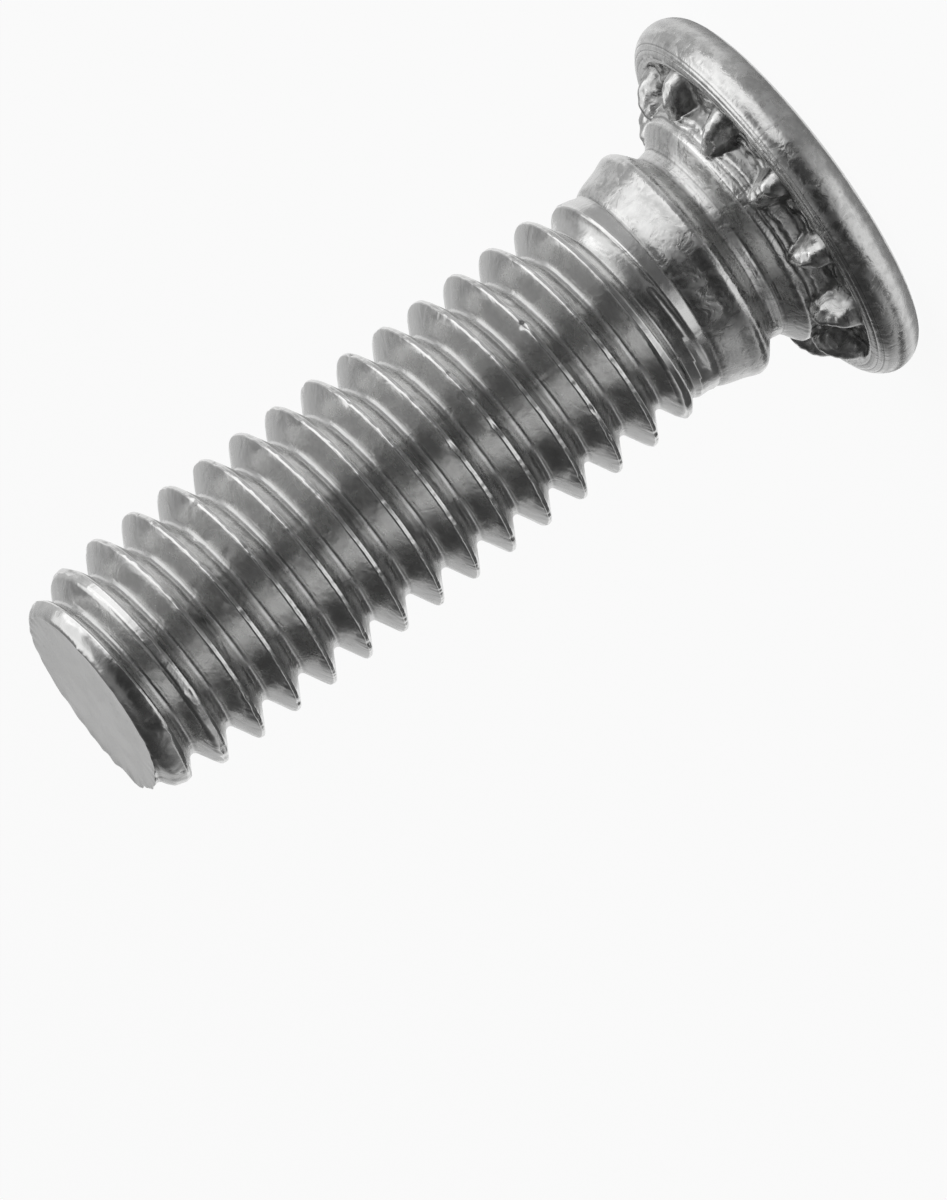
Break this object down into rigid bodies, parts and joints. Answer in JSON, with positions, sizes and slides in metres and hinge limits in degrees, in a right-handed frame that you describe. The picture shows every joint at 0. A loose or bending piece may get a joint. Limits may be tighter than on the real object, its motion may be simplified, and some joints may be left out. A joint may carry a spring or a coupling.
{
  "type": "self-clinching stud",
  "caption": "Threaded steel stud with a thin flush head, a ring of anti-turn ribs and a clinching groove under it.",
  "frame": {"origin": "centre of the head's flat outer face, on the stud's axis", "axes": "+Z along the axis from the head to the cropped end; +X where a full thread crest lies at the end of the run-out"},
  "size_m": [0.0048, 0.0048, 0.0099],
  "materials": {
    "bright_steel": "bright plated steel, glossy on the rolled thread and satin on the head and the cropped end"
  },
  "bodies": {
    "root": {"stud": "bright_steel"}
  },
  "joints": []
}
